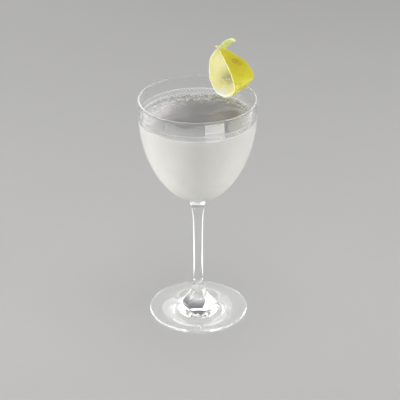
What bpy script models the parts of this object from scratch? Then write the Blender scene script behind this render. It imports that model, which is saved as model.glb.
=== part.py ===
"""Cocktail in a small stemmed glass, with a looped lemon peel on the rim.

Three separate solids: the glass (bowl, stem and foot in one piece), the drink
inside it, and the lemon peel, whose slit straddles the rim.
The origin is the centre of the foot's underside. Units are metres, +Z is up.
"""
import math

import bmesh
import bpy
from mathutils import Matrix, Vector

MM = 0.001
GAP = 0.3 * MM                  # clearance between pieces that touch

# Glass
GLASS_HEIGHT = 149.0 * MM
BOWL_RADIUS = 36.5 * MM         # outer radius of the straight band under the rim
BOWL_BAND_BASE = 137.0 * MM     # height where the straight band ends
BOWL_TIP = 80.5 * MM            # height where the bowl's outer curve would close
BOWL_FULLNESS = 1.8             # superellipse exponent along the height
WALL = 1.2 * MM
BOWL_FLOOR = 2.6 * MM           # thickness of glass under the drink
BOWL_STEPS = 18                 # height steps of the bowl's outline
LIP_STEPS = 4                   # corners in the rounded lip
STEM_RADIUS = 3.05 * MM
KNEE_SIZE = 3.8 * MM            # how far the stem swells where it meets the bowl
KNEE_LENGTH = 5.0 * MM          # how fast that swelling fades downwards
KNEE_BLEND = 6.0                # power of the mean that blends stem and bowl
KNEE_DROPS = (1.0, 3.5, 6.5, 10.5, 16.0, 24.0)      # outline points, mm below the bowl
FOOT_RADIUS = 31.3 * MM
FOOT_EDGE = 1.6 * MM            # thickness of the foot's edge
FOOT_FLARE_TOP = 22.0 * MM      # height where the stem starts to flare
FOOT_FLARE_POWER = 2.25         # superellipse exponent of the flare
FOOT_STEPS = 13
FOOT_EDGE_ROUND = 0.5 * MM
SEGMENTS = 64

# Drink
DRINK_LEVEL = GLASS_HEIGHT - 13.2 * MM

# Lemon peel: a pointed strip bent into a loop that hangs on the rim.
PEEL_AZIMUTH = math.radians(48.5)
PEEL_THICK = 1.7 * MM
PEEL_EDGE_THICK = 1.2 * MM
PEEL_MID_HALF_WIDTH = 8.1 * MM
PEEL_TIP_THINNING = 0.5         # thickness at the tips, as a share of the middle's
PEEL_SLICES = 60
PEEL_FACE_POINTS = 6            # points across each face of the strip
# Stations along the strip's middle line, from the free tail to the tucked end:
# along the rim to the right, outwards, upwards (mm from the rim), then the turn
# and the tilt of the strip's width from the outward direction (degrees), and
# half the strip's width (mm).
PEEL_STATIONS = (
    (-1.8, 1.2, 26.4, 75, -48, 0.8),
    (-9.7, 4.8, 22.5, 49, -17, 2.2),
    (-16.7, 1.5, 13.9, 28, 8, 3.3),
    (-16.0, 1.2, 8.8, 19, 15, 6.8),
    (-12.0, -1.0, 0.9, 16, 15, 8.1),
    (-4.5, -3.4, -5.4, 16, 11, 8.0),
    (5.2, -7.5, -4.8, 13, 12, 6.8),
    (11.5, -8.4, 0.3, 8, 16, 6.8),
    (10.8, -5.2, 5.8, 12, 6, 7.6),
    (4.0, -3.4, 12.4, 12, 4, 6.7),
    (-3.5, -4.1, 17.9, 15, 5, 3.6),
    (-8.8, -3.8, 20.4, 17, 5, 1.7),
    (-11.4, -6.6, 22.2, 20, 12, 0.7),
)
SLIT_DEPTH = 14.0 * MM          # how far below the rim the slit's cutter reaches


# ---------------------------------------------------------------- scene helpers
def clear_scene():
    """Remove every object of the open scene."""
    for item in list(bpy.data.objects):
        bpy.data.objects.remove(item, do_unlink=True)


def make_material(name, colour, roughness, alpha=1.0, transmission=0.0):
    """Plain Principled material."""
    material = bpy.data.materials.new(name)
    material.use_nodes = True
    shader = material.node_tree.nodes["Principled BSDF"]
    shader.inputs["Base Color"].default_value = (*colour, 1.0)
    shader.inputs["Roughness"].default_value = roughness
    shader.inputs["Metallic"].default_value = 0.0
    shader.inputs["Alpha"].default_value = alpha
    shader.inputs["Transmission Weight"].default_value = transmission
    return material


def finish_object(name, bm, material):
    """Turn a bmesh into a named object with outward faces, shaded smooth."""
    bmesh.ops.recalc_face_normals(bm, faces=bm.faces)
    mesh = bpy.data.meshes.new(name)
    bm.to_mesh(mesh)
    bm.free()
    mesh.shade_smooth()
    mesh.set_sharp_from_angle(angle=math.radians(50))
    item = bpy.data.objects.new(name, mesh)
    bpy.context.scene.collection.objects.link(item)
    if material:
        item.data.materials.append(material)
    return item


def turned_mesh(outline, closed=False):
    """Spin (radius, height) points about Z. An open outline starts and ends on the axis."""
    bm = bmesh.new()
    points = [bm.verts.new((radius, 0.0, height)) for radius, height in outline]
    edges = [bm.edges.new(pair) for pair in zip(points, points[1:])]
    if closed:
        edges.append(bm.edges.new((points[-1], points[0])))
    bmesh.ops.spin(
        bm, geom=points + edges, axis=(0, 0, 1), cent=(0, 0, 0),
        steps=SEGMENTS, angle=math.tau, use_merge=True,
    )
    bmesh.ops.remove_doubles(bm, verts=bm.verts, dist=0.001 * MM)
    return bm


# ---------------------------------------------------------------- glass outline
def superellipse_radius(height, band_base, tip, radius):
    """Radius of a bowl that is straight above band_base and closes at tip."""
    if height >= band_base:
        return radius
    drop = min((band_base - height) / (band_base - tip), 1.0)
    return radius * math.sqrt(1.0 - drop ** BOWL_FULLNESS)


def stem_radius(height):
    """Stem radius, with the swelling that runs up into the bowl."""
    below_bowl = max(BOWL_TIP - height, 0.0)
    return STEM_RADIUS + KNEE_SIZE * math.exp(-below_bowl / KNEE_LENGTH)


def outer_radius(height):
    """Outside of bowl and stem, blended by a power mean."""
    bowl = 0.0
    if height > BOWL_TIP:
        bowl = superellipse_radius(height, BOWL_BAND_BASE, BOWL_TIP, BOWL_RADIUS)
    stem = stem_radius(height)
    return (bowl ** KNEE_BLEND + stem ** KNEE_BLEND) ** (1.0 / KNEE_BLEND)


def inner_radius(height, shrink=0.0):
    """Inside of the bowl, or a smaller copy of it for what fills it."""
    tip = BOWL_TIP + BOWL_FLOOR + shrink
    return superellipse_radius(height, BOWL_BAND_BASE, tip, BOWL_RADIUS - WALL - shrink)


def eased_heights(top, bottom):
    """Heights from top to bottom, closer together near the bottom."""
    quarter = 0.5 * math.pi
    return [
        bottom + (top - bottom) * (1.0 - math.sin(quarter * step / BOWL_STEPS))
        for step in range(BOWL_STEPS + 1)
    ]


def foot_outline():
    """Points from the stem down the concave flare, over the edge to the axis."""
    reach = FOOT_RADIUS - STEM_RADIUS
    drop = FOOT_FLARE_TOP - FOOT_EDGE
    power = 2.0 / FOOT_FLARE_POWER
    points = []
    for step in range(1, FOOT_STEPS):
        angle = 0.5 * math.pi * step / FOOT_STEPS
        radius = FOOT_RADIUS - reach * math.cos(angle) ** power
        height = FOOT_FLARE_TOP - drop * math.sin(angle) ** power
        if radius < FOOT_RADIUS - FOOT_EDGE_ROUND:
            points.append((radius, height))
    for centre_height, start in ((FOOT_EDGE - FOOT_EDGE_ROUND, 90), (FOOT_EDGE_ROUND, 0)):
        for degrees in (0, 30, 60, 90):
            angle = math.radians(start - degrees)
            points.append((
                FOOT_RADIUS - FOOT_EDGE_ROUND + FOOT_EDGE_ROUND * math.cos(angle),
                centre_height + FOOT_EDGE_ROUND * math.sin(angle),
            ))
    points.append((0.0, 0.0))
    return points


def glass_outline():
    """Whole section of the glass, from the inside floor over the lip to the foot."""
    lip_radius = 0.5 * WALL
    lip_height = GLASS_HEIGHT - lip_radius
    floor = BOWL_TIP + BOWL_FLOOR
    inside = [(inner_radius(z), z) for z in eased_heights(lip_height, floor)]
    inside.reverse()
    inside[0] = (0.0, floor)
    lip = []
    for step in range(1, LIP_STEPS):
        angle = math.pi * (1.0 - step / LIP_STEPS)
        lip.append((
            BOWL_RADIUS - lip_radius + lip_radius * math.cos(angle),
            lip_height + lip_radius * math.sin(angle),
        ))
    bowl = [(outer_radius(z), z) for z in eased_heights(lip_height, BOWL_TIP + MM)]
    stem = [(outer_radius(BOWL_TIP - drop * MM), BOWL_TIP - drop * MM) for drop in KNEE_DROPS]
    stem.append((STEM_RADIUS, FOOT_FLARE_TOP))
    return inside + lip + bowl + stem + foot_outline()


def build_glass():
    """Bowl, stem and foot, blown and drawn as one piece of clear glass."""
    material = make_material("glass_clear", (0.95, 0.96, 0.96), 0.02, 0.35, 0.9)
    return finish_object("glass", turned_mesh(glass_outline()), material)


# ---------------------------------------------------------------- drink
def build_drink():
    """Cloudy drink, a solid up to its level, just clear of the wall."""
    floor = BOWL_TIP + BOWL_FLOOR + GAP
    heights = eased_heights(DRINK_LEVEL, floor)
    outline = [(0.0, DRINK_LEVEL)]
    outline += [(inner_radius(z, GAP), z) for z in heights[:-1]]
    outline.append((0.0, floor))
    material = make_material("drink_cloudy", (0.66, 0.65, 0.62), 0.12)
    return finish_object("drink", turned_mesh(outline), material)


# ---------------------------------------------------------------- lemon peel
def rim_axes():
    """Point of the rim where the peel hangs, with right, outward and up axes."""
    outward = Vector((math.cos(PEEL_AZIMUTH), math.sin(PEEL_AZIMUTH), 0.0))
    right = Vector((math.sin(PEEL_AZIMUTH), -math.cos(PEEL_AZIMUTH), 0.0))
    place = outward * BOWL_RADIUS + Vector((0.0, 0.0, GLASS_HEIGHT))
    return Matrix((right, outward, Vector((0, 0, 1)))).transposed(), place


def smooth_station(share):
    """Catmull-Rom point of PEEL_STATIONS at a share 0..1 of the way along."""
    last = len(PEEL_STATIONS) - 1
    index = min(int(share * last), last - 1)
    f = share * last - index
    near = [PEEL_STATIONS[max(0, min(last, index + step))] for step in (-1, 0, 1, 2)]
    weights = (
        0.5 * (-f + 2 * f ** 2 - f ** 3),
        0.5 * (2 - 5 * f ** 2 + 3 * f ** 3),
        0.5 * (f + 4 * f ** 2 - 3 * f ** 3),
        0.5 * (-f ** 2 + f ** 3),
    )
    return [sum(w * row[k] for w, row in zip(weights, near)) for k in range(6)]


def peel_centre(share):
    """Middle of the strip, in the rim's own axes."""
    return Vector(smooth_station(share)[:3]) * MM


def peel_width_axis(share):
    """Unit direction across the strip, in the rim's own axes."""
    turn, tilt = (math.radians(angle) for angle in smooth_station(share)[3:5])
    level = math.cos(tilt)
    return Vector((level * math.sin(turn), level * math.cos(turn), math.sin(tilt)))


def peel_section(share):
    """Closed ring of points: the zest face one way, the pith face back."""
    nudge = 0.25 / PEEL_SLICES
    ahead = peel_centre(min(share + nudge, 1.0))
    behind = peel_centre(max(share - nudge, 0.0))
    along = (ahead - behind).normalized()
    across = peel_width_axis(share)
    outside = across.cross(along).normalized()
    half_width = smooth_station(share)[5] * MM
    fullness = math.sqrt(half_width / PEEL_MID_HALF_WIDTH)
    thinning = PEEL_TIP_THINNING + (1.0 - PEEL_TIP_THINNING) * fullness
    zest, pith = [], []
    for point in range(PEEL_FACE_POINTS):
        place = -1.0 + 2.0 * point / (PEEL_FACE_POINTS - 1)
        depth = PEEL_EDGE_THICK + (PEEL_THICK - PEEL_EDGE_THICK) * (1.0 - place ** 2)
        surface = peel_centre(share) + across * (half_width * place)
        zest.append(surface)
        pith.append(surface - outside * (depth * thinning))
    return zest + pith[::-1]


def build_slit_cutter():
    """Ring a gap larger all round than the glass wall, as tall as the slit."""
    top = GLASS_HEIGHT + GAP
    bottom = GLASS_HEIGHT - SLIT_DEPTH
    outline = [
        (BOWL_RADIUS + GAP, top), (BOWL_RADIUS + GAP, bottom),
        (BOWL_RADIUS - WALL - GAP, bottom), (BOWL_RADIUS - WALL - GAP, top),
    ]
    cutter = finish_object("slit_cutter", turned_mesh(outline, closed=True), None)
    cutter.hide_render = True
    cutter.display_type = "WIRE"
    return cutter


def build_peel():
    """Strip of lemon peel, zest outside, looped over the rim through its slit."""
    axes, place = rim_axes()
    bm = bmesh.new()
    rings = []
    for slice_number in range(PEEL_SLICES + 1):
        ring = peel_section(slice_number / PEEL_SLICES)
        rings.append([bm.verts.new(place + axes @ point) for point in ring])
    count = len(rings[0])
    for first, second in zip(rings, rings[1:]):
        for point in range(count):
            after = (point + 1) % count
            bm.faces.new((first[point], first[after], second[after], second[point]))
    bm.faces.new(rings[0])
    bm.faces.new(rings[-1])
    material = make_material("lemon_zest", (0.72, 0.58, 0.06), 0.45)
    peel = finish_object("lemon_peel", bm, material)
    slit = peel.modifiers.new("slit", "BOOLEAN")
    slit.operation = "DIFFERENCE"
    slit.solver = "EXACT"
    slit.object = build_slit_cutter()
    return peel


def main():
    """Build the three pieces."""
    clear_scene()
    build_glass()
    build_drink()
    build_peel()


main()
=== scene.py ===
"""A between the sheets cocktail in a stemmed glass, with a lemon twist hooked over the rim.

Sizes are in metres in the frame's own axes: +Z up, origin under the middle of the foot.
Every piece is a surface worked out with numpy and laid into a mesh in its place.
"""
import math

import bpy
import numpy as np
from bpy.props import FloatProperty, FloatVectorProperty, IntProperty, PointerProperty
from mathutils import Matrix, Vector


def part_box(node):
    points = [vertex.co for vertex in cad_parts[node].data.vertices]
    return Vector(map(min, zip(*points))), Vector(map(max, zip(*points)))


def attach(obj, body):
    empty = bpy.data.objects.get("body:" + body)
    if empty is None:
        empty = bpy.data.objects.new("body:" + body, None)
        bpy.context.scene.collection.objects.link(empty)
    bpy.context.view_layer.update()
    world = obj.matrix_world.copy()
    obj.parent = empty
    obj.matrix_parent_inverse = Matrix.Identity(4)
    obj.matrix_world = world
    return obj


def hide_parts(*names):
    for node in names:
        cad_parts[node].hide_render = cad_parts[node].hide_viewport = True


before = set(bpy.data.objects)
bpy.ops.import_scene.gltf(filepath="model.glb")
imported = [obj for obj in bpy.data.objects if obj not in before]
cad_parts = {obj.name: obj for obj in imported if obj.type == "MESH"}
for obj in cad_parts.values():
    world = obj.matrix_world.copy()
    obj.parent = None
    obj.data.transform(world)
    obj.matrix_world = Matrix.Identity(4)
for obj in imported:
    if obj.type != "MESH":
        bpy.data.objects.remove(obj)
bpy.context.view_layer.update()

bl_info = {
    "name": "Between the sheets cocktail",
    "version": (1, 0, 0),
    "blender": (4, 5, 0),
    "location": "3D View > Sidebar > Cocktail",
    "description": "Makes a cloudy cocktail in a stemmed glass with a lemon twist",
    "category": "Add Mesh",
}

MM = 0.001
BODY = "root"
LIGHT_BOUNCES = 48              # light runs far inside the wall before it leaves the lip
GLASS_HEIGHT = float(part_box("glass")[1][2])
BOWL_RADIUS = float(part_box("glass")[1][0])


# ---------------- properties
def length(name, description, default):
    """A length property in metres."""
    return FloatProperty(
        name=name, description=description, default=default, unit="LENGTH", precision=5,
    )


def colour(name, description, default):
    """A linear colour property."""
    return FloatVectorProperty(
        name=name, description=description, default=default, size=3, subtype="COLOR", min=0, max=1,
    )


class GlassSizes(bpy.types.PropertyGroup):
    """Driving sizes of the stemmed glass."""

    height: length("Height", "Foot to lip", GLASS_HEIGHT)
    bowl_radius: length("Bowl radius", "Outside radius of the straight part", BOWL_RADIUS)
    band_base: length("Straight part", "Height where the bowl begins to round in", 137.0 * MM)
    tip: length("Bowl tip", "Height where the bowl's curve would close", 80.5 * MM)
    fullness: FloatProperty(name="Fullness", description="Power of the bowl's curve", default=1.8)
    wall: length("Wall", "Thickness of the bowl's wall", 1.2 * MM)
    floor: length("Floor", "Glass under the drink", 2.6 * MM)
    stem_radius: length("Stem radius", "Radius of the drawn stem", 3.05 * MM)
    knee_size: length("Knee size", "Swelling where stem meets bowl", 3.8 * MM)
    knee_length: length("Knee length", "How fast the swelling fades down the stem", 5.0 * MM)
    knee_blend: FloatProperty(
        name="Knee blend", description="Power of the mean that joins them", default=6.0,
    )
    foot_radius: length("Foot radius", "Radius of the foot", 31.3 * MM)
    foot_edge: length("Foot edge", "Thickness at the foot's rim", 1.6 * MM)
    foot_round: length("Foot edge rounding", "Radius of the fire-polished edge", 0.5 * MM)
    flare_top: length("Flare top", "Height where the foot leaves the stem", 22.0 * MM)
    flare_power: FloatProperty(name="Flare power", description="Hollowness of the flare", default=2.25)
    kick: length("Kick", "Rise of the hollow under the foot", 0.5 * MM)
    turns: IntProperty(name="Turns", description="Facets round the glass", default=192, min=32)


class BandSizes(bpy.types.PropertyGroup):
    """Fine etched lattice between two lines, near the rim."""

    top_line: length("Top line", "Drop from the lip to the upper line", 8.75 * MM)
    base_line: length("Base line", "Drop from the lip to the lower line", 12.2 * MM)
    loop_middle: length("Loop middle", "Drop from the lip to the middle of the loops", 10.4 * MM)
    loop_reach: length("Loop reach", "Half height of the loops", 1.15 * MM)
    loops: IntProperty(name="Loops", description="Loops round the glass", default=96, min=8)
    line_width: length("Line width", "Width of an etched line", 0.48 * MM)
    line_proud: length("Line relief", "How far a line stands off the wall", 0.03 * MM)


class DrinkSizes(bpy.types.PropertyGroup):
    """Level and surface of the drink."""

    below_lip: length("Below the lip", "Drop from the lip to the surface", 13.2 * MM)
    bite: length("Bite", "How far the drink reaches into the wall", 0.08 * MM)
    creep: length("Creep", "Rise of the surface at the wall", 0.9 * MM)
    creep_width: length("Creep width", "How fast that rise fades inward", 0.8 * MM)
    bubbles: IntProperty(name="Bubbles", description="Fine bubbles at the wall", default=900, min=0)
    bubble_size: length("Bubble size", "Radius of a middling bubble", 0.20 * MM)
    bubble_spread: length("Bubble spread", "How far from the wall the bubbles thin out", 1.6 * MM)
    seed: IntProperty(name="Seed", description="Seed of the bubbles", default=7)


class PeelSizes(bpy.types.PropertyGroup):
    """Strip of lemon peel."""

    azimuth: FloatProperty(
        name="Place on rim", description="Angle round the rim",
        default=math.radians(48.5), subtype="ANGLE",
    )
    thick: length("Thickness", "Thickness in the middle of the strip", 1.7 * MM)
    edge_thick: length("Edge thickness", "Thickness at the cut edges", 1.2 * MM)
    widest: length("Widest", "Greatest half width", 8.1 * MM)
    tip_share: FloatProperty(
        name="Tip share", description="Thickness kept at a pointed tip", default=0.5,
    )
    pore_gap: length("Pore gap", "Distance between oil glands", 0.95 * MM)
    pore_depth: length("Pore depth", "Depth of an oil gland's dimple", 0.07 * MM)
    slit_depth: length("Slit depth", "Reach of the slit below the lip", 14.0 * MM)
    slit_play: length("Slit play", "Room between slit and wall", 0.06 * MM)
    seed: IntProperty(name="Seed", description="Seed of the skin", default=11)


class Colours(bpy.types.PropertyGroup):
    """Linear colours."""

    glass: colour("Glass", "Tint of the clear glass", (0.985, 0.992, 0.988))
    drink: colour("Drink", "Cloudy body of the drink", (0.90, 0.885, 0.855))
    drink_shade: colour("Drink shade", "Thinner clouds in the drink", (0.84, 0.83, 0.80))
    # Painted shade: a darker tone for the upper drink.
    upper_painted_shade: colour("Settled", "Upper drink, where the cloud has settled", (0.70, 0.69, 0.668))
    # Painted shade: the open surface is a much darker copy of the drink's own colour.
    surface: colour("Surface", "Open surface, where light sinks in", (0.265, 0.257, 0.251))
    froth: colour("Froth", "Flecks of fine foam near the back wall", (0.97, 0.96, 0.93))
    # Painted light: the open surface is lighter toward the wall, where light comes through the glass.
    surface_painted_light: colour("Surface edge", "Open surface near the wall", (0.46, 0.447, 0.434))
    zest: colour("Zest", "Outer skin", (0.81, 0.79, 0.05))
    zest_ripe: colour("Ripe zest", "Deeper patches of the skin", (0.565, 0.475, 0.03))
    pith: colour("Pith", "Inner face", (0.95, 0.86, 0.36))
    # Painted shade: a darker, greener pith where the strip's other wall shades it.
    pith_painted_shade: colour("Thin pith", "Where the zest shades through the pith", (0.42, 0.42, 0.13))
    # Painted light: whiter pith low at the bend, where light from above falls.
    pith_painted_light: colour("Thick pith", "White of the pith at the bend", (1.0, 1.0, 0.88))
    pith_pale: colour("Pale pith", "Spongy white of the cut", (0.97, 0.94, 0.69))
    pith_green: colour("Green pith", "Thin, greenish end of the strip", (0.64, 0.745, 0.27))
    dried: colour("Dried tip", "Dried-out tips of the strip", (0.90, 0.90, 0.72))
    bruise: colour("Bruise", "Rubbed spot on the skin", (0.44, 0.27, 0.02))
    floor: colour("Floor", "Pale table", (0.56, 0.555, 0.545))


PEEL_STATIONS = np.array((
    # right along the rim, outward, up (mm), turn, tilt (degrees), half width (mm)
    (-1.8, 1.2, 26.4, 75, -48, 0.8),
    (-9.7, 4.8, 22.5, 49, -17, 2.2),
    (-16.7, 1.5, 13.9, 28, 8, 3.3),
    (-16.0, 1.2, 8.8, 19, 15, 6.8),
    (-12.0, -1.0, 0.9, 16, 15, 8.1),
    (-4.5, -3.4, -5.4, 16, 11, 8.0),
    (5.2, -7.5, -4.8, 13, 12, 6.8),
    (11.5, -8.4, 0.3, 8, 16, 6.8),
    (10.8, -5.2, 5.8, 12, 6, 7.6),
    (4.0, -3.4, 12.4, 12, 4, 6.7),
    (-3.5, -4.1, 17.9, 15, 5, 3.6),
    (-8.8, -3.8, 20.4, 17, 5, 1.7),
    (-11.4, -6.6, 22.2, 20, 12, 0.7),
))


# ---------------- mesh helpers
def wrapped_grid(rows, columns, close_rows=False):
    """Quads of a grid whose columns wrap round, and whose rows wrap too if asked."""
    last = rows if close_rows else rows - 1
    row, column = np.meshgrid(np.arange(last), np.arange(columns), indexing="ij")
    below = (row + 1) % rows
    after = (column + 1) % columns
    corners = (
        row * columns + column, below * columns + column,
        below * columns + after, row * columns + after,
    )
    return np.stack(corners, axis=-1).reshape(-1, 4)


def cap_fan(ring, pole, flip=False):
    """Triangles from a ring of vertex numbers to one pole."""
    after = np.roll(ring, -1)
    poles = np.full_like(ring, pole)
    return np.stack((poles, ring, after) if flip else (poles, after, ring), axis=-1)


def capped_tube(rows, columns):
    """Faces of a tube of wrapped rows, with a fan to each of the two poles numbered after them."""
    count = rows * columns
    first = np.arange(columns)
    return [
        wrapped_grid(rows, columns),
        cap_fan(first, count, flip=True),
        cap_fan(first + count - columns, count + 1),
    ]


def signed_volume(points, groups):
    """Six times the volume, as the sum of corner determinants of the faces' triangles."""
    total = 0.0
    for faces in groups:
        for step in range(1, faces.shape[1] - 1):
            a, b, c = points[faces[:, 0]], points[faces[:, step]], points[faces[:, step + 1]]
            total += float(np.einsum("ij,ij->", a, np.cross(b, c)))
    return total


def lay_mesh(name, points, groups, materials, slots=None):
    """Lay points and groups of faces into an object at the origin, faces outward."""
    if signed_volume(points, groups) < 0:
        groups = [faces[:, ::-1] for faces in groups]
    faces = [face for group in groups for face in group.tolist()]
    mesh = bpy.data.meshes.new(name)
    mesh.from_pydata(points.tolist(), [], faces)
    for material in materials:
        mesh.materials.append(material)
    if slots is not None:
        mesh.polygons.foreach_set("material_index", slots.astype(np.int32))
    mesh.shade_smooth()
    mesh.update()
    item = bpy.data.objects.new(name, mesh)
    bpy.context.scene.collection.objects.link(item)
    return item


def rings_about(section, turns):
    """Points (radius, height) carried about Z: at angle a, (r, z) goes to (r cos a, r sin a, z)."""
    angle = np.linspace(0.0, math.tau, turns, endpoint=False)
    return np.stack((
        section[:, :1] * np.cos(angle),
        section[:, :1] * np.sin(angle),
        np.broadcast_to(section[:, 1:], (len(section), turns)),
    ), axis=-1).reshape(-1, 3)


def turned(section, turns):
    """Points and faces of a section turned about Z, whose two ends lie on the axis."""
    points = rings_about(section[1:-1], turns)
    poles = np.array(((0, 0, section[0, 1]), (0, 0, section[-1, 1])))
    return np.concatenate((points, poles)), capped_tube(len(section) - 2, turns)


def finish_piece(item, slot, *replaced):
    """Ride on the one body and stand for the solids named; the slot is not used."""
    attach(item, BODY)
    if replaced:
        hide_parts(*replaced)


# ---------------- material helpers
# Sockets of a Mix node that mixes colours
MIX_FACTOR, MIX_FIRST, MIX_SECOND, MIX_RESULT = 0, 6, 7, 2


class Finish:
    """A material under construction, with short ways to add and join nodes."""

    def __init__(self, name):
        self.material = bpy.data.materials.new(name)
        self.material.use_nodes = True
        self.nodes = self.material.node_tree.nodes
        self.links = self.material.node_tree.links
        self.shader = self.nodes["Principled BSDF"]
        self.output = self.nodes["Material Output"]
        self.place = self.nodes.new("ShaderNodeTexCoord").outputs["Object"]

    def join(self, source, target):
        """Link an output to an input."""
        self.links.new(source, target)

    def feed(self, name, source):
        """Link an output to the shader's input of that name."""
        self.join(source, self.shader.inputs[name])

    def set(self, **values):
        """Set constants on the shader, names with _ for a space."""
        for name, value in values.items():
            self.shader.inputs[name.replace("_", " ")].default_value = value

    def attribute(self, name):
        """Node that reads the mesh's own attribute of that name."""
        node = self.nodes.new("ShaderNodeAttribute")
        node.attribute_name = name
        return node

    def noise(self, scale, detail=3.0, roughness=0.55, distortion=0.0):
        """Noise of the given scale (cells per metre) on the object's own coordinates."""
        node = self.nodes.new("ShaderNodeTexNoise")
        node.inputs["Scale"].default_value = scale
        node.inputs["Detail"].default_value = detail
        node.inputs["Roughness"].default_value = roughness
        node.inputs["Distortion"].default_value = distortion
        self.join(self.place, node.inputs["Vector"])
        return node.outputs["Fac"]

    def remap(self, value, low, high, to_low, to_high, smooth=False):
        """Carry low..high over to to_low..to_high, held at both ends."""
        node = self.nodes.new("ShaderNodeMapRange")
        node.interpolation_type = "SMOOTHSTEP" if smooth else "LINEAR"
        sockets = ("From Min", "From Max", "To Min", "To Max")
        for socket, number in zip(sockets, (low, high, to_low, to_high)):
            node.inputs[socket].default_value = number
        self.join(value, node.inputs["Value"])
        return node.outputs["Result"]

    def math(self, operation, first, second):
        """Sum, product or the like of two numbers, given as sockets or as constants."""
        node = self.nodes.new("ShaderNodeMath")
        node.operation = operation
        for socket, value in zip(node.inputs, (first, second)):
            if isinstance(value, (int, float)):
                socket.default_value = value
            else:
                self.join(value, socket)
        return node.outputs["Value"]

    def from_axis(self, right, back):
        """Distance from an upright axis that stands so far right and back of the glass's own."""
        flat = self.nodes.new("ShaderNodeVectorMath")
        flat.operation = "MULTIPLY_ADD"
        flat.inputs[1].default_value = (1.0, 1.0, 0.0)
        flat.inputs[2].default_value = (-right, -back, 0.0)
        self.join(self.place, flat.inputs[0])
        size = self.nodes.new("ShaderNodeVectorMath")
        size.operation = "LENGTH"
        self.join(flat.outputs["Vector"], size.inputs[0])
        return size.outputs["Value"]

    def height(self):
        """Height above the table."""
        parts = self.nodes.new("ShaderNodeSeparateXYZ")
        self.join(self.place, parts.inputs["Vector"])
        return parts.outputs["Z"]

    def blend(self, share, first, second):
        """Mix of two colours, given as sockets or as linear triples."""
        node = self.nodes.new("ShaderNodeMix")
        node.data_type = "RGBA"
        self.join(share, node.inputs[MIX_FACTOR])
        for number, value in ((MIX_FIRST, first), (MIX_SECOND, second)):
            socket = node.inputs[number]
            if isinstance(value, bpy.types.NodeSocket):
                self.join(value, socket)
            else:
                socket.default_value = (*value, 1.0)
        return node.outputs[MIX_RESULT]

    def bump(self, height, strength, distance):
        """Relief in the light only: height 0..1 stands for the distance, at the given strength."""
        node = self.nodes.new("ShaderNodeBump")
        node.inputs["Strength"].default_value = strength
        node.inputs["Distance"].default_value = distance
        self.join(height, node.inputs["Height"])
        self.feed("Normal", node.outputs["Normal"])

    def let_light_through(self, tint):
        """Shadow rays pass, so that what the glass holds is lit."""
        path = self.nodes.new("ShaderNodeLightPath")
        clear = self.nodes.new("ShaderNodeBsdfTransparent")
        clear.inputs["Color"].default_value = (*tint, 1.0)
        mix = self.nodes.new("ShaderNodeMixShader")
        self.join(path.outputs["Is Shadow Ray"], mix.inputs["Fac"])
        self.join(self.shader.outputs["BSDF"], mix.inputs[1])
        self.join(clear.outputs["BSDF"], mix.inputs[2])
        self.join(mix.outputs["Shader"], self.output.inputs["Surface"])


GLASS_IOR = 1.5
GLASS_SHADOW = (0.95, 0.96, 0.955)
DRINK_LOOK = {"IOR": 1.34, "Subsurface_Scale": 5.0 * MM, "Subsurface_Radius": (1.0, 0.95, 0.85)}


def glass_finish(colours):
    """Clear glass, faintly wavy, with the lightest smears."""
    finish = Finish("clear_glass")
    finish.set(Base_Color=(*colours.glass, 1.0), Transmission_Weight=1.0, IOR=GLASS_IOR)
    smears = finish.noise(45.0, 4.0, 0.6)
    finish.feed("Roughness", finish.remap(smears, 0.45, 0.75, 0.0, 0.03, True))
    finish.bump(finish.noise(38.0, 1.0), 0.08, 0.4 * MM)
    finish.let_light_through(GLASS_SHADOW)
    return finish.material


def etched_finish():
    """Frosted line, grainy and whitish."""
    finish = Finish("etched_glass")
    grain = finish.noise(5200.0, 2.0)
    finish.set(Transmission_Weight=1.0, IOR=GLASS_IOR)
    finish.feed("Base Color", finish.blend(grain, (0.94, 0.945, 0.94), (1.0, 1.0, 1.0)))
    finish.feed("Roughness", finish.remap(grain, 0.3, 0.7, 0.5, 0.75))
    finish.bump(grain, 0.3, 0.02 * MM)
    return finish.material


def drink_body_finish(colours):
    """Cloudy liquid against the wall: light sinks in and spreads, and painted shade darkens it toward
    the top.
    """
    finish = Finish("cloudy_drink")
    finish.set(**DRINK_LOOK, Roughness=0.45, Subsurface_Weight=1.0, Specular_IOR_Level=0.1)
    clouds = finish.noise(55.0, 5.0, 0.55, distortion=0.6)
    share = finish.remap(clouds, 0.35, 0.7, 0.0, 1.0, True)
    body = finish.blend(share, colours.drink, colours.drink_shade)
    # Painted shade: the body darkens toward the top.
    upper_shade_share = finish.remap(finish.height(), 92.0 * MM, 134.0 * MM, 0.0, 1.0)
    finish.feed("Base Color", finish.blend(upper_shade_share, body, colours.upper_painted_shade))
    return finish.material


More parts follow.
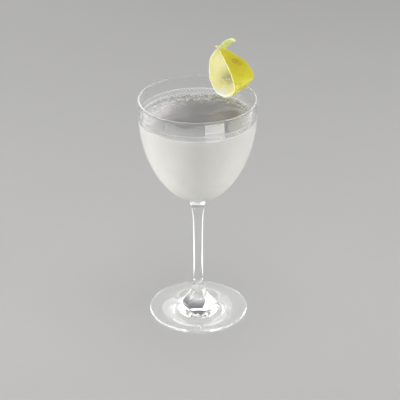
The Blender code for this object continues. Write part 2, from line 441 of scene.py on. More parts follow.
def drink_top_finish(colours):
    """Open surface of the drink: wet, with faint swirls, painted shade deepest a little right of and
    behind the middle, painted light toward the wall, and flecks of fine foam near the wall.
    """
    finish = Finish("cloudy_drink_surface")
    finish.set(**DRINK_LOOK)
    swirls = finish.noise(70.0, 6.0, 0.6, distortion=1.2)
    uneven = finish.math("MULTIPLY", finish.math("SUBTRACT", swirls, 0.5), 12.0 * MM)
    # Painted shade deepest a little right of and behind the middle, painted light toward the wall.
    from_axis = finish.math("ADD", finish.from_axis(4.0 * MM, 6.0 * MM), uneven)
    share = finish.remap(from_axis, 17.0 * MM, 42.0 * MM, 0.0, 1.0, True)
    tone = finish.blend(share, colours.surface, colours.surface_painted_light)
    from_front = finish.from_axis(4.0 * MM, -9.0 * MM)
    near_wall = finish.remap(from_front, 26.0 * MM, 41.0 * MM, 0.0, 1.0, True)
    flecks = finish.remap(finish.noise(850.0, 4.0, 0.7, distortion=0.8), 0.47, 0.58, 0.0, 1.0, True)
    rafts = finish.remap(finish.noise(210.0, 3.0, 0.6, distortion=1.5), 0.40, 0.60, 0.2, 1.0, True)
    froth = finish.math("MULTIPLY", finish.math("MULTIPLY", flecks, rafts), near_wall)
    finish.feed("Subsurface Weight", finish.remap(froth, 0.0, 1.0, 0.85, 0.1))
    finish.feed("Base Color", finish.blend(froth, tone, colours.froth))
    finish.feed("Roughness", finish.remap(swirls, 0.3, 0.7, 0.02, 0.07))
    finish.bump(finish.noise(120.0, 2.0), 0.15, 0.2 * MM)
    return finish.material


def bubble_finish():
    """Thin wet film over the cloudy drink."""
    finish = Finish("bubble_film")
    film = finish.noise(2600.0, 2.0)
    finish.set(
        IOR=1.33, Subsurface_Weight=0.8, Subsurface_Scale=1.0 * MM, Subsurface_Radius=(1.0, 1.0, 0.95),
    )
    finish.feed("Base Color", finish.blend(film, (0.93, 0.93, 0.92), (1.0, 1.0, 0.99)))
    finish.feed("Roughness", finish.remap(film, 0.3, 0.7, 0.02, 0.1))
    return finish.material


def peel_finish(colours):
    """Zest and pith told apart by the strip's own layers: zest, pores, bruise and dried tips.

    The skin darkens toward the ripe tone with height, painted light makes the pith whitest at the bend
    below, and the pith is greenish at the top;
    the bruise layer stains the skin on one face and carries painted shade on the pith of the other.
    """
    finish = Finish("lemon_zest")
    skin_numbers = finish.attribute("skin")
    layers = finish.nodes.new("ShaderNodeSeparateColor")
    finish.join(skin_numbers.outputs["Color"], layers.inputs["Color"])
    zestness, pores, bruise = (layers.outputs[k] for k in ("Red", "Green", "Blue"))

    patches = finish.remap(finish.noise(160.0, 4.0, 0.6), 0.35, 0.7, 0.0, 0.7, True)
    # The skin darkens toward the ripe tone with height.
    darker_with_height = finish.remap(finish.height(), 148.0 * MM, 162.0 * MM, 0.0, 0.6, True)
    patches = finish.math("MAXIMUM", patches, darker_with_height)
    skin = finish.blend(patches, colours.zest, colours.zest_ripe)
    skin = finish.blend(finish.math("MULTIPLY", pores, 0.45), skin, colours.zest_ripe)
    above_bend = finish.remap(finish.height(), 152.0 * MM, 155.0 * MM, 0.0, 1.0)
    stain = finish.math("MULTIPLY", bruise, above_bend)
    skin = finish.blend(stain, skin, colours.bruise)

    fibres = finish.remap(finish.noise(420.0, 5.0, 0.65), 0.3, 0.75, 0.0, 1.0)
    flesh = finish.blend(fibres, colours.pith, colours.pith_pale)
    # Painted shade: on the pith face the bruise layer darkens the flesh toward the painted shade
    # colour.
    thin = finish.math("MULTIPLY", bruise, finish.remap(zestness, 0.0, 0.5, 1.0, 0.0))
    flesh = finish.blend(thin, flesh, colours.pith_painted_shade)
    # Painted light: the pith is whitest low at the bend.
    thick = finish.remap(finish.height(), 142.6 * MM, 145.4 * MM, 1.0, 0.0, True)
    flesh = finish.blend(thick, flesh, colours.pith_painted_light)
    greenish = finish.remap(finish.height(), 162.0 * MM, 170.0 * MM, 0.0, 0.8, True)
    flesh = finish.blend(greenish, flesh, colours.pith_green)

    share = finish.remap(zestness, 0.72, 0.95, 0.0, 1.0, True)
    dried = finish.math("MULTIPLY", skin_numbers.outputs["Alpha"], 0.8)
    tone = finish.blend(dried, finish.blend(share, flesh, skin), colours.dried)
    finish.feed("Base Color", tone)
    finish.feed("Roughness", finish.remap(share, 0.0, 1.0, 0.62, 0.36))
    finish.set(
        IOR=1.45, Subsurface_Weight=0.6, Subsurface_Scale=1.8 * MM, Subsurface_Radius=(1.0, 0.85, 0.3),
    )
    finish.bump(finish.noise(1500.0, 4.0, 0.6), 0.35, 0.06 * MM)
    return finish.material


def floor_finish(colours):
    """Pale matt table top."""
    finish = Finish("pale_floor")
    tone = finish.noise(6.0, 2.0)
    darker = tuple(0.97 * part for part in colours.floor)
    finish.feed("Base Color", finish.blend(tone, colours.floor, darker))
    finish.set(Roughness=0.9, Specular_IOR_Level=0.1)
    return finish.material


# ---------------- glass
STEM_CROWDING = 1.8             # rings crowd under the bowl, where the stem swells
KICK_REACH = 0.88               # share of the foot's radius that is hollowed beneath


def bowl_curve(angle, sizes, tip, radius):
    """Superellipse quarter: radius times cos a, falling by sin a to the power 2 / fullness."""
    drop = (sizes.band_base - tip) * np.sin(angle) ** (2.0 / sizes.fullness)
    return radius * np.cos(angle), sizes.band_base - drop


def inner_section(sizes, top, steps=64, shrink=0.0):
    """Inside of the bowl from the axis up to a height, drawn in all round by the shrink."""
    angle = np.linspace(0.5 * math.pi, 0.0, steps)
    tip = sizes.tip + sizes.floor + shrink
    radius, height = bowl_curve(angle, sizes, tip, sizes.bowl_radius - sizes.wall - shrink)
    radius[0] = 0.0
    straight = np.linspace(sizes.band_base, top, 8)[1:]
    return np.stack((
        np.concatenate((radius, np.full(len(straight), radius[-1]))),
        np.concatenate((height, straight)),
    ), axis=-1)


def outer_section(sizes, lip_height):
    """Outside from the lip down the bowl and stem: the power sum of bowl and stem radius.

    The stem's radius is its own plus a swelling that dies away as exp(-drop / length).
    """
    straight = np.linspace(lip_height, sizes.band_base, 10)[:-1]
    angle = np.linspace(0.0, 0.5 * math.pi, 72)
    bowl, height = bowl_curve(angle, sizes, sizes.tip, sizes.bowl_radius)
    below = (sizes.tip - sizes.flare_top) * np.linspace(0.0, 1.0, 44)[1:] ** STEM_CROWDING
    heights = np.concatenate((straight, height, sizes.tip - below))
    bowls = np.concatenate((np.full(len(straight), sizes.bowl_radius), bowl, np.zeros(len(below))))
    under_bowl = np.maximum(sizes.tip - heights, 0.0)
    stem = sizes.stem_radius + sizes.knee_size * np.exp(-under_bowl / sizes.knee_length)
    power = sizes.knee_blend
    return np.stack(((bowls ** power + stem ** power) ** (1.0 / power), heights), axis=-1)


def arc(centre_radius, centre_height, radius, start, end, steps):
    """Points on a circle in the section, from one angle to another (degrees)."""
    angle = np.radians(np.linspace(start, end, steps))
    return np.stack((
        centre_radius + radius * np.cos(angle),
        centre_height + radius * np.sin(angle),
    ), axis=-1)


def foot_section(sizes):
    """Hollow flare, rounded edge and slightly raised underside, to the axis.

    The flare is a superellipse quarter that hollows in. The underside rises by the kick times
    (1 - share squared) squared, where the share runs from 1 where the hollow ends to 0.
    """
    angle = np.linspace(0.0, 0.5 * math.pi, 60)[1:-1]
    power = 2.0 / sizes.flare_power
    radius = sizes.foot_radius - (sizes.foot_radius - sizes.stem_radius) * np.cos(angle) ** power
    height = sizes.flare_top - (sizes.flare_top - sizes.foot_edge) * np.sin(angle) ** power
    flare = np.stack((radius, height), axis=-1)[radius < sizes.foot_radius - sizes.foot_round]
    corner = sizes.foot_radius - sizes.foot_round
    edge_top = arc(corner, sizes.foot_edge - sizes.foot_round, sizes.foot_round, 90, 0, 7)
    edge_base = arc(corner, sizes.foot_round, sizes.foot_round, 0, -90, 7)
    share = np.linspace(1.0, 0.0, 24)
    rise = sizes.kick * (1.0 - share ** 2) ** 2
    under = np.stack((share * KICK_REACH * sizes.foot_radius, rise), axis=-1)
    return np.concatenate((flare, edge_top, edge_base, under))


def glass_section(sizes):
    """Whole section, from the inside floor over the lip and down to the foot."""
    lip_radius = 0.5 * sizes.wall
    lip_height = sizes.height - lip_radius
    inside = inner_section(sizes, lip_height)
    lip = arc(sizes.bowl_radius - lip_radius, lip_height, lip_radius, 180, 0, 13)[1:-1]
    return np.concatenate((inside, lip, outer_section(sizes, lip_height), foot_section(sizes)))


class COCKTAIL_OT_glass(bpy.types.Operator):
    """Turn the bowl, stem and foot in one piece of clear glass"""

    bl_idname = "cocktail.make_glass"
    bl_label = "Make glass"

    def execute(self, context):
        sizes = context.scene.cocktail_glass
        points, groups = turned(glass_section(sizes), sizes.turns)
        finish = glass_finish(context.scene.cocktail_colours)
        item = lay_mesh("stemmed_glass", points, groups, [finish])
        finish_piece(item, "clear_glass", "glass")
        return {"FINISHED"}


# ---------------- etched band
STEPS_A_LOOP = 10


def ribbon(heights, sizes, wall_radius):
    """Closed ribbon round the wall: its middle height is given at each angle.

    Four corners carried round: half a line up or down, sunk in or proud of the wall.
    """
    angle = np.linspace(0.0, math.tau, len(heights), endpoint=False)
    half, proud = 0.5 * sizes.line_width, sizes.line_proud
    corners = ((-proud, -half), (-proud, half), (proud, half), (proud, -half))
    rows = []
    for off_wall, lift in corners:
        radius = wall_radius + off_wall
        corner = (radius * np.cos(angle), radius * np.sin(angle), heights + lift)
        rows.append(np.stack(corner, axis=-1))
    return np.concatenate(rows), wrapped_grid(len(corners), len(heights), close_rows=True)


class COCKTAIL_OT_band(bpy.types.Operator):
    """Etch two fine lines round the bowl and a chain of loops between them, two waves that cross"""

    bl_idname = "cocktail.etch_band"
    bl_label = "Etch band"

    def execute(self, context):
        glass = context.scene.cocktail_glass
        sizes = context.scene.cocktail_band
        steps = STEPS_A_LOOP * sizes.loops
        angle = np.linspace(0.0, math.tau, steps, endpoint=False)
        wave = sizes.loop_reach * np.sin(0.5 * sizes.loops * angle)
        middle = glass.height - sizes.loop_middle
        courses = (
            np.full(2 * sizes.loops, glass.height - sizes.top_line),
            middle + wave,
            middle - wave,
            np.full(2 * sizes.loops, glass.height - sizes.base_line),
        )
        points, quads, count = [], [], 0
        for heights in courses:
            part, faces = ribbon(heights, sizes, glass.bowl_radius)
            quads.append(faces + count)
            points.append(part)
            count += len(part)
        item = lay_mesh("etched_band", np.concatenate(points), quads, [etched_finish()])
        finish_piece(item, "clear_glass")
        return {"FINISHED"}


# ---------------- drink
SURFACE_CROWDING = 0.55         # rings crowd at the wall, where the surface creeps up
SURFACE_SLOT, BODY_SLOT = 0, 1


def creep_at(gap, sizes):
    """Rise of the drink's surface at a gap from the wall: it dies away as exp(-gap / width)."""
    return sizes.creep * np.exp(-gap / sizes.creep_width)


class COCKTAIL_OT_drink(bpy.types.Operator):
    """Fill the bowl with the cloudy drink, its surface creeping up the wall"""

    bl_idname = "cocktail.pour_drink"
    bl_label = "Pour drink"

    def execute(self, context):
        scene = context.scene
        glass, sizes = scene.cocktail_glass, scene.cocktail_drink
        level = glass.height - sizes.below_lip
        side = inner_section(glass, level + sizes.creep, 72, -sizes.bite)[::-1]
        reach = side[0, 0]
        share = np.linspace(0.0, 1.0, 60) ** SURFACE_CROWDING
        radius = reach * share[:-1]
        top = np.stack((radius, level + creep_at(reach - radius, sizes)), axis=-1)
        points, groups = turned(np.concatenate((top, side)), glass.turns)
        open_rows = len(top) - 1
        slots = [np.full(len(group), BODY_SLOT) for group in groups]
        slots[0][: open_rows * glass.turns] = SURFACE_SLOT
        slots[1][:] = SURFACE_SLOT
        colours = scene.cocktail_colours
        materials = [drink_top_finish(colours), drink_body_finish(colours)]
        item = lay_mesh("cloudy_drink", points, groups, materials, np.concatenate(slots))
        finish_piece(item, "cloudy_drink", "drink")
        return {"FINISHED"}


def ball(rows, columns):
    """Unit sphere: rings at equal steps of polar angle, with a pole at each end."""
    polar = np.linspace(0.0, math.pi, rows + 1)
    return turned(np.stack((np.sin(polar), np.cos(polar)), axis=-1), columns)


BUBBLE_HOME = 0.5 * math.pi     # angle of the side where most of them gather: the back
BUBBLE_ARC = 1.1                # spread round the wall (radians)
BUBBLE_VARIETY = 0.35           # spread of the logarithm of their size
BUBBLE_LIMITS = (0.4, 2.2)      # smallest and largest, against a middling bubble
BUBBLE_STRAY = 3.5              # farthest from the wall, against the usual spread
BUBBLE_LIFT = 0.25              # share of its radius by which a middle stands above the surface


class COCKTAIL_OT_bubbles(bpy.types.Operator):
    """Scatter fine bubbles where the drink meets the wall, most of them at the back"""

    bl_idname = "cocktail.scatter_bubbles"
    bl_label = "Scatter bubbles"

    def execute(self, context):
        scene = context.scene
        glass, sizes = scene.cocktail_glass, scene.cocktail_drink
        random = np.random.default_rng(sizes.seed)
        count = sizes.bubbles
        around = BUBBLE_HOME + random.normal(0.0, BUBBLE_ARC, count)
        size = sizes.bubble_size * np.exp(random.normal(0.0, BUBBLE_VARIETY, count))
        size = size.clip(*(limit * sizes.bubble_size for limit in BUBBLE_LIMITS))
        spread = sizes.bubble_spread
        stray = random.exponential(spread, count).clip(0.0, BUBBLE_STRAY * spread)
        inside = glass.bowl_radius - glass.wall
        radius = inside - size - stray
        creep = creep_at(inside - radius, sizes)
        height = glass.height - sizes.below_lip + creep + BUBBLE_LIFT * size
        centres = np.stack((radius * np.cos(around), radius * np.sin(around), height), axis=-1)
        unit, groups = ball(5, 8)
        points = (centres[:, None, :] + size[:, None, None] * unit[None, :, :]).reshape(-1, 3)
        starts = len(unit) * np.arange(count)[:, None, None]
        groups = [(starts + group[None, :, :]).reshape(-1, group.shape[1]) for group in groups]
        item = lay_mesh("edge_bubbles", points, groups, [bubble_finish()])
        finish_piece(item, "cloudy_drink")
        return {"FINISHED"}


# ---------------- lemon peel
PEEL_STEPS = (360, 48, 5)       # along the strip, across a face, across a cut edge
PORE_CELLS = 512                # lattice cells each way before the pores repeat
PORE_REACH = 0.32               # reach of a dimple, as a share of the gap between two
# Period and size of each unevenness
UNEVEN = (9.0 * MM, 0.10 * MM)          # both faces together
LUMPS = (2.6 * MM, 0.05 * MM)           # the pith alone
WANDER = (7.0 * MM, 0.12 * MM)          # the cut edges, sideways
EDGE_SWELL = 0.10 * MM                  # how far the cut edges bulge
# Marks on the strip: distance along it, distance across it, reach
SPOT = (84.9 * MM, 0.6 * MM)
SPOT_RING = (1.3 * MM, 0.6 * MM)        # radius and softness
SMUDGE = (81.8 * MM, 2.0 * MM, 0.9 * MM)
STAIN = (83.5 * MM, 1.0 * MM, 4.5 * MM)
# The last mark is painted shade on the pith, where the strip's other wall shades it.
PITH_PAINTED_SHADE = (41.0 * MM, 5.0 * MM, 6.5 * MM)
DRIED_ENDS = (2.2 * MM, 4.0 * MM)       # at the tail and at the tucked end


def station_at(share):
    """Catmull-Rom curve through the stations, at shares 0..1 of the way along."""
    last = len(PEEL_STATIONS) - 1
    index = np.minimum((share * last).astype(int), last - 1)
    f = (share * last - index)[:, None]
    near = [PEEL_STATIONS[np.clip(index + step, 0, last)] for step in (-1, 0, 1, 2)]
    weights = (
        0.5 * (-f + 2 * f ** 2 - f ** 3),
        0.5 * (2 - 5 * f ** 2 + 3 * f ** 3),
        0.5 * (f + 4 * f ** 2 - 3 * f ** 3),
        0.5 * (-f ** 2 + f ** 3),
    )
    return sum(weight * row for weight, row in zip(weights, near))


def pore_field(along, across, gap, random):
    """Dimples: a bell on the distance to the nearest point of a jittered square lattice."""
    cells = PORE_CELLS
    jitter = random.random((cells, cells, 2)) * 0.8 + 0.1
    depth = 0.5 + 0.5 * random.random((cells, cells))
    u, v = along / gap + 8.0, across / gap + 0.5 * cells    # well inside the lattice
    best = np.full(u.shape, 9.0)                            # farther than any of its points
    weight = np.zeros(u.shape)
    for du in (-1, 0, 1):
        for dv in (-1, 0, 1):
            i, j = np.floor(u).astype(int) + du, np.floor(v).astype(int) + dv
            offset = jitter[i % cells, j % cells]
            distance = np.hypot(i + offset[..., 0] - u, j + offset[..., 1] - v)
            nearer = distance < best
            best = np.where(nearer, distance, best)
            weight = np.where(nearer, depth[i % cells, j % cells], weight)
    return weight * np.exp(-(best / PORE_REACH) ** 2)


def slow_field(along, across, period, random, waves=7):
    """Soft unevenness: a sum of sine waves of random direction and phase, about -1..1."""
    total = np.zeros(along.shape)
    for _ in range(waves):
        heading = random.random() * math.tau
        pitch = math.tau / (period * (0.6 + 0.8 * random.random()))
        phase = random.random() * math.tau
        total += np.sin(pitch * (along * math.cos(heading) + across * math.sin(heading)) + phase)
    return total / math.sqrt(waves)


def peel_surface(sizes, slices, face_steps, edge_steps):
    """The strip as a grid: rows along it, columns once round its section.

    A section point is centre + across * place * half width - outside * inward * depth. Place
    runs from -1 to 1 over a face, and inward from 0 on the zest to 1 on the pith.
    """
    share = np.linspace(0.0, 1.0, slices)
    station = station_at(share)
    nudge = 0.004               # half the stretch over which the heading is taken
    ahead = station_at(np.minimum(share + nudge, 1.0))[:, :3]
    behind = station_at(np.maximum(share - nudge, 0.0))[:, :3]
    along = ahead - behind
    along /= np.linalg.norm(along, axis=1, keepdims=True)
    turn, tilt = np.radians(station[:, 3]), np.radians(station[:, 4])
    flat = np.cos(tilt)
    across = np.stack((flat * np.sin(turn), flat * np.cos(turn), np.sin(tilt)), axis=-1)
    outside = np.cross(across, along)
    outside /= np.linalg.norm(outside, axis=1, keepdims=True)
    centre = station[:, :3] * MM
    half_width = station[:, 5] * MM
    travel = np.concatenate(((0.0,), np.cumsum(np.linalg.norm(np.diff(centre, axis=0), axis=1))))

    face = np.linspace(-1.0, 1.0, face_steps)
    edge = np.linspace(0.0, 1.0, edge_steps + 2)[1:-1]
    place = np.concatenate((face, np.ones(edge_steps), face[::-1], -np.ones(edge_steps)))
    inward = np.concatenate((np.zeros(face_steps), edge, np.ones(face_steps), edge[::-1]))

    fullness = np.sqrt(np.maximum(half_width, 0.0) / sizes.widest)
    thinning = sizes.tip_share + (1.0 - sizes.tip_share) * fullness
    depth = sizes.edge_thick + (sizes.thick - sizes.edge_thick) * (1.0 - place[None, :] ** 2)
    depth = depth * thinning[:, None]
    width = half_width[:, None] * place[None, :]
    run = np.broadcast_to(travel[:, None], width.shape)

    random = np.random.default_rng(sizes.seed)
    on_zest = np.clip(1.0 - 4.0 * inward, 0.0, 1.0)[None, :]
    pores = pore_field(run, width, sizes.pore_gap, random) * on_zest
    uneven = UNEVEN[1] * slow_field(run, width, UNEVEN[0], random)
    lumps = LUMPS[1] * slow_field(run, width, LUMPS[0], random) * (inward == 1.0)[None, :]
    wander = WANDER[1] * slow_field(run, 0.0 * width, WANDER[0], random) * np.abs(place)[None, :] ** 8
    swell = EDGE_SWELL * np.sin(math.pi * inward) * (np.abs(place) == 1.0)

    sideways = width + np.sign(place)[None, :] * (wander * fullness[:, None] + swell[None, :])
    lift = uneven * fullness[:, None] - sizes.pore_depth * pores - depth * inward[None, :] + lumps
    points = (
        centre[:, None, :]
        + across[:, None, :] * sideways[..., None]
        + outside[:, None, :] * lift[..., None]
    )
    zestness = np.broadcast_to(1.0 - inward[None, :], width.shape)
    return points, zestness, pores, run, width


def skin_marks(run, width):
    """How bruised, how darkened by painted shade on the pith, and how dried-out, the strip is at each
    point.

    The bruise is a soft ring round one spot, a smudge beside it and a faint stain under
    both, each a bell on the distance. A broad bell nearer the middle is painted shade on the
    pith, and the strip dries out toward its two tips.
    """
    def bell(along, across, reach):
        return np.exp(-((run - along) ** 2 + (width - across) ** 2) / reach ** 2)

    from_spot = np.hypot(run - SPOT[0], width - SPOT[1])
    ring = np.exp(-((from_spot - SPOT_RING[0]) / SPOT_RING[1]) ** 2)
    # The last bell is painted shade on the pith, not a bruise.
    bruise = 0.6 * ring + 0.5 * bell(*SMUDGE) + 0.25 * bell(*STAIN) + 0.9 * bell(*PITH_PAINTED_SHADE)
    dried = np.exp(-(run / DRIED_ENDS[0]) ** 2) + np.exp(-((run.max() - run) / DRIED_ENDS[1]) ** 2)
    return np.clip(bruise, 0.0, 1.0), np.clip(dried, 0.0, 1.0)


def skin_layer(mesh, layers):
    """Store four numbers a vertex on the face corners, where they outlast the cut of the slit."""
    corner = np.empty(len(mesh.loops), dtype=np.int32)
    mesh.loops.foreach_get("vertex_index", corner)
    store = mesh.color_attributes.new("skin", "FLOAT_COLOR", "CORNER")
    store.data.foreach_set("color", layers[corner].astype(np.float32).ravel())


def cut_slit(peel, glass, sizes):
    """Cut away the ring of the glass wall, with a little play all round."""
    top = glass.height + sizes.slit_play
    base = glass.height - sizes.slit_depth
    outer = glass.bowl_radius + sizes.slit_play
    inner = glass.bowl_radius - glass.wall - sizes.slit_play
    section = np.array(((inner, base), (inner, top), (outer, top), (outer, base)))
    points = rings_about(section, glass.turns)
    cutter = lay_mesh("slit_cutter", points, [wrapped_grid(4, glass.turns, close_rows=True)], [])
    slit = peel.modifiers.new("slit", "BOOLEAN")
    slit.operation = "DIFFERENCE"
    slit.solver = "EXACT"
    slit.object = cutter
    cut = bpy.data.meshes.new_from_object(peel.evaluated_get(bpy.context.evaluated_depsgraph_get()))
    peel.modifiers.remove(slit)
    whole = peel.data
    peel.data = cut
    cut.name = peel.name
    bpy.data.meshes.remove(whole)
    bpy.data.objects.remove(cutter, do_unlink=True)


class COCKTAIL_OT_peel(bpy.types.Operator):
    """Loop the strip of lemon peel over the rim through its slit"""

    bl_idname = "cocktail.hang_peel"
    bl_label = "Hang lemon peel"

    def execute(self, context):
        scene = context.scene
        glass, sizes = scene.cocktail_glass, scene.cocktail_peel
        local, zestness, pores, run, width = peel_surface(sizes, *PEEL_STEPS)
        outward = np.array((math.cos(sizes.azimuth), math.sin(sizes.azimuth), 0.0))
        right = np.array((outward[1], -outward[0], 0.0))
        axes = np.stack((right, outward, (0.0, 0.0, 1.0)))
        place = outward * glass.bowl_radius + np.array((0.0, 0.0, glass.height))
        rows, columns = local.shape[:2]
        points = (local.reshape(-1, 3) @ axes) + place
        ends = np.stack((points[:columns].mean(axis=0), points[-columns:].mean(axis=0)))
        groups = capped_tube(rows, columns)
        finish = peel_finish(scene.cocktail_colours)
        item = lay_mesh("lemon_twist", np.concatenate((points, ends)), groups, [finish])
        bruise, dried = skin_marks(run, width)
        layers = np.stack([layer.ravel() for layer in (zestness, pores, bruise, dried)], axis=-1)
        layers = np.concatenate((layers, np.zeros((2, 4))))
        skin_layer(item.data, layers)
        cut_slit(item, glass, sizes)
        finish_piece(item, "lemon_zest", "lemon_peel")
        return {"FINISHED"}


# ---------------- stage
# Name, place, width and height (metres), power (watts)
WINDOWS = (
    ("left_window", (-0.78, -0.18, 0.30), (0.6, 0.56), 4.3),
    ("right_window", (0.78, -0.15, 0.30), (0.5, 0.56), 3.05),
    ("back_left_window", (-0.45, 0.85, 0.50), (0.5, 0.6), 1.5),
    ("back_right_window", (0.75, 0.62, 0.40), (0.3, 0.6), 0.95),
)
OVERHEAD = ((0.05, -0.05, 0.9), (0.7, 0.7), 2.3)
LIGHT_AIM = (0.0, 0.0, 0.1)
# Cards low beside the stem, seen only through the glass: place, aim, size and radiance
STEM_CARD = ((0.0505, 0.018, 0.032), (0.007, 0.018, 0.057), (0.056, 0.070), 1.3)
# Name, place, aim, width and height (metres), radiance
CARDS = (
    ("front_card", (0.0478, -0.089, 0.110), (0.0, 0.0, 0.110), (0.059, 0.018), 4.2),
    ("right_wall_card", (0.090, -0.018, 0.1115), (0.0, -0.018, 0.1115), (0.105, 0.014), 1.2),
    ("left_wall_card", (-0.088, -0.011, 0.1115), (0.0, -0.011, 0.1115), (0.088, 0.014), 0.9),
    ("middle_wall_card", (-0.035, -0.083, 0.1125), (0.0, 0.0, 0.1125), (0.12, 0.014), 1.1),
    ("lattice_card", (0.0, 0.13, 0.148), (0.0, 0.0, 0.148), (0.16, 0.03), 2.0),
)
# Cards mirrored in the drink's surface: name, outer end, inner ends, radiance, tint
SURFACE_CARDS = (
    ("left_surface_card", -0.063, np.linspace(-0.006, -0.0293, 5), 0.62, (1.0, 0.95, 0.92)),
    ("right_surface_card", 0.055, np.linspace(0.0148, 0.030, 3), 0.55, (0.98, 1.0, 0.95)),
)
MIRROR_PLACE = (0.016, 0.136)   # back and up of the lit part of the surface
MIRROR_SLOPE = 0.4615           # rise for each metre back of the view mirrored there
CARD_BACK, CARD_GAP, CARD_HEIGHT = 0.217, 0.003, 0.014
HORIZON, ZENITH = (0.85, 0.85, 0.85), (0.20, 0.20, 0.21)
ZENITH_FROM = 0.7               # rise of a direction from which the room is as overhead
CAMERA_PLACE = (1.3 * MM, -913.7 * MM, 557.7 * MM)
CAMERA_DOWN, CAMERA_ROLL = 27.65, -0.25         # degrees
SENSOR, LENS = 36.0, 147.33                     # millimetres
FLOOR_REACH, FLOOR_DROP = 4.0, 0.05 * MM


def soft_box(name, place, aim, size, power, tint=(1.0, 1.0, 1.0)):
    """Rectangular soft light at a place, facing a point; it isn't seen itself."""
    data = bpy.data.lights.new(name, "AREA")
    data.shape = "RECTANGLE"
    data.size, data.size_y = size
    data.energy = power
    data.color = tint
    lamp = bpy.data.objects.new(name, data)
    bpy.context.scene.collection.objects.link(lamp)
    away = np.array(place) - np.array(aim)
    away /= np.linalg.norm(away)
    side = np.cross((0.0, 0.0, 1.0), away)
    side /= np.linalg.norm(side)
    turn = np.stack((side, np.cross(away, side), away), axis=-1)
    lamp.matrix_world = Matrix.Translation(place) @ Matrix(turn.tolist()).to_4x4()
    lamp.visible_camera = False
    return lamp


def glint_card(name, place, aim, size, radiance, tint=(1.0, 1.0, 1.0)):
    """Small bright card that shows only in wet and clear things: power is pi * area * radiance."""
    card = soft_box(name, place, aim, size, math.pi * size[0] * size[1] * radiance, tint)
    card.visible_diffuse = False
    return card


def fading_cards(name, outer, inner_ends, radiance, tint):
    """Cards over each other behind the glass, each shorter than the last, so that their light
    fades out across the drink's surface toward the middle.

    Each stands a gap behind the one before, up the slope of the view that the surface mirrors.
    """
    mirror_back, mirror_height = MIRROR_PLACE
    for number, inner in enumerate(inner_ends):
        middle = 0.5 * (outer + inner)
        back = CARD_BACK + CARD_GAP * number
        place = (middle, back, mirror_height + MIRROR_SLOPE * (back - mirror_back))
        aim = (middle, mirror_back, mirror_height)
        glint_card(f"{name}_{number}", place, aim, (abs(outer - inner), CARD_HEIGHT), radiance, tint)


def soft_room(scene, horizon, zenith):
    """Even light from all round, paler near the horizon than overhead."""
    world = bpy.data.worlds.new("soft_room")
    scene.world = world
    world.use_nodes = True
    nodes, links = world.node_tree.nodes, world.node_tree.links
    direction = nodes.new("ShaderNodeTexCoord").outputs["Generated"]
    split = nodes.new("ShaderNodeSeparateXYZ")
    links.new(direction, split.inputs["Vector"])
    share = nodes.new("ShaderNodeMapRange")
    share.interpolation_type = "SMOOTHSTEP"
    share.inputs["From Min"].default_value = 0.0
    share.inputs["From Max"].default_value = ZENITH_FROM
    links.new(split.outputs["Z"], share.inputs["Value"])
    mix = nodes.new("ShaderNodeMix")
    mix.data_type = "RGBA"
    links.new(share.outputs["Result"], mix.inputs[MIX_FACTOR])
    mix.inputs[MIX_FIRST].default_value = (*horizon, 1.0)
    mix.inputs[MIX_SECOND].default_value = (*zenith, 1.0)
    links.new(mix.outputs[MIX_RESULT], nodes["Background"].inputs["Color"])


def place_camera():
    """Long lens from the front, looking down on the glass."""
    data = bpy.data.cameras.new("camera")
    data.sensor_width = SENSOR
    data.lens = LENS
    camera = bpy.data.objects.new("camera", data)
    bpy.context.scene.collection.objects.link(camera)
    pitch = Matrix.Rotation(math.radians(90.0 - CAMERA_DOWN), 4, "X")
    roll = Matrix.Rotation(math.radians(CAMERA_ROLL), 4, "Z")
    camera.matrix_world = Matrix.Translation(CAMERA_PLACE) @ pitch @ roll
    bpy.context.scene.camera = camera


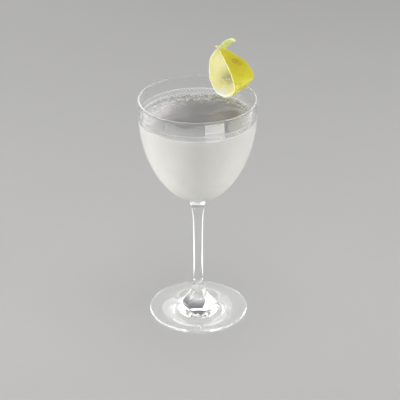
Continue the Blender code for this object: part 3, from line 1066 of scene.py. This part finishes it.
class COCKTAIL_OT_stage(bpy.types.Operator):
    """Set the pale floor, the soft lights, the room and the camera"""

    bl_idname = "cocktail.set_stage"
    bl_label = "Set stage"

    def execute(self, context):
        scene = context.scene
        reach = FLOOR_REACH
        corners = np.array(((-reach, -reach), (reach, -reach), (reach, reach), (-reach, reach)))
        points = np.concatenate((corners, np.full((4, 1), -FLOOR_DROP)), axis=1)
        finish = floor_finish(scene.cocktail_colours)
        floor = lay_mesh("floor", points, [np.array(((0, 1, 2, 3),))], [finish])
        for name, place, size, power in WINDOWS:
            soft_box(name, place, LIGHT_AIM, size, power)
        place, target, size, radiance = STEM_CARD
        for name, side in (("left_card", -1.0), ("right_card", 1.0)):
            mirror = np.array((side, 1.0, 1.0))
            glint_card(name, mirror * place, mirror * target, size, radiance).visible_glossy = False
        for card in CARDS:
            glint_card(*card)
        for card in SURFACE_CARDS:
            fading_cards(*card)
        place, size, power = OVERHEAD
        soft_box("overhead", place, LIGHT_AIM, size, power).visible_glossy = False
        soft_room(scene, HORIZON, ZENITH)
        scene.view_settings.view_transform = "Standard"
        scene.cycles.max_bounces = LIGHT_BOUNCES
        scene.cycles.transmission_bounces = LIGHT_BOUNCES
        scene.cycles.glossy_bounces = LIGHT_BOUNCES
        scene.cycles.transparent_max_bounces = LIGHT_BOUNCES
        place_camera()
        return {"FINISHED"}


class COCKTAIL_PT_panel(bpy.types.Panel):
    """Lists the pieces of the cocktail"""

    bl_idname = "COCKTAIL_PT_panel"
    bl_label = "Cocktail"
    bl_space_type = "VIEW_3D"
    bl_region_type = "UI"
    bl_category = "Cocktail"

    def draw(self, context):
        for operator in STEPS:
            self.layout.operator(operator.bl_idname)
        for name in GROUPS:
            box = self.layout.box()
            group = getattr(context.scene, name)
            for prop in group.bl_rna.properties.keys():
                if prop not in ("rna_type", "name"):
                    box.prop(group, prop)


STEPS = (
    COCKTAIL_OT_stage, COCKTAIL_OT_glass, COCKTAIL_OT_band, COCKTAIL_OT_drink,
    COCKTAIL_OT_bubbles, COCKTAIL_OT_peel,
)
GROUPS = {
    "cocktail_glass": GlassSizes,
    "cocktail_band": BandSizes,
    "cocktail_drink": DrinkSizes,
    "cocktail_peel": PeelSizes,
    "cocktail_colours": Colours,
}


def register():
    """Register the classes and hang their property groups on the scene."""
    for item in (*GROUPS.values(), *STEPS, COCKTAIL_PT_panel):
        bpy.utils.register_class(item)
    for name, group in GROUPS.items():
        setattr(bpy.types.Scene, name, PointerProperty(type=group))


def unregister():
    """Undo register."""
    for name in GROUPS:
        delattr(bpy.types.Scene, name)
    for item in reversed((*GROUPS.values(), *STEPS, COCKTAIL_PT_panel)):
        bpy.utils.unregister_class(item)


def main():
    """Make every piece in order."""
    register()
    for operator in STEPS:
        group, name = operator.bl_idname.split(".")
        getattr(getattr(bpy.ops, group), name)()


if __name__ == "__main__":
    main()
